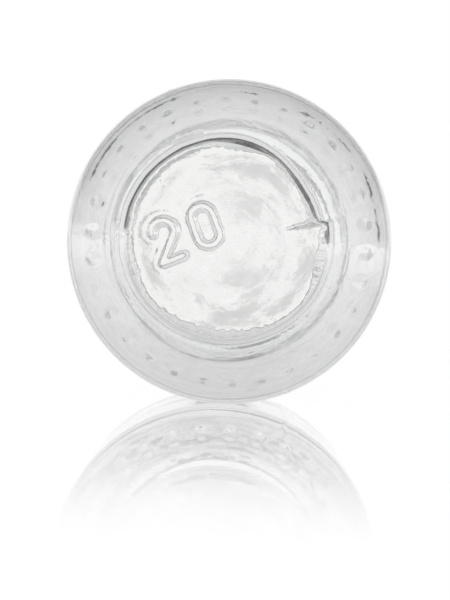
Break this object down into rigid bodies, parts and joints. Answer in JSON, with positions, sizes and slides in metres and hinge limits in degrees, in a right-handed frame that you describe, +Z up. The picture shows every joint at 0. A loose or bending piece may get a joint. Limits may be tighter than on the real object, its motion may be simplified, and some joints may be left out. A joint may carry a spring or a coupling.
{
  "type": "glass milk bottle",
  "caption": "Clear glass milk bottle lying on its side, with a ring of grip dots and a raised number on its base, and a clear disc cap with a pull tab seated in the lip.",
  "frame": {"origin": "on the surface the bottle lies on, under the middle of the bottle's length and width", "axes": "+Y along the bottle's axis from the base to the mouth, +Z up, +X to the right when the base is looked at"},
  "size_m": [0.079, 0.184, 0.079],
  "materials": {
    "bottle": "clear, faintly grey, polished with light wear",
    "cap_disc": "clear moulded plastic, satin edge",
    "cap_film": "clear film, glossy",
    "pull_tab": "clear film, finely frosted",
    "staple": "drawn wire"
  },
  "bodies": {
    "glass": {"bottle": "bottle"},
    "cap": {"cap_disc": "cap_disc", "cap_film": "cap_film", "staple": "staple"},
    "tab": {"pull_tab": "pull_tab"}
  },
  "joints": [
    {"name": "cap_pull", "type": "slide", "parent": "glass", "child": "cap", "axis": [0, 1, 0], "range_m": [0, 0.03]},
    {"name": "tab_lift", "type": "hinge", "parent": "cap", "child": "tab", "pos_m": [0, 0.0879, 0.0455], "axis": [1, 0, 0], "range_deg": [0, 130]}
  ]
}
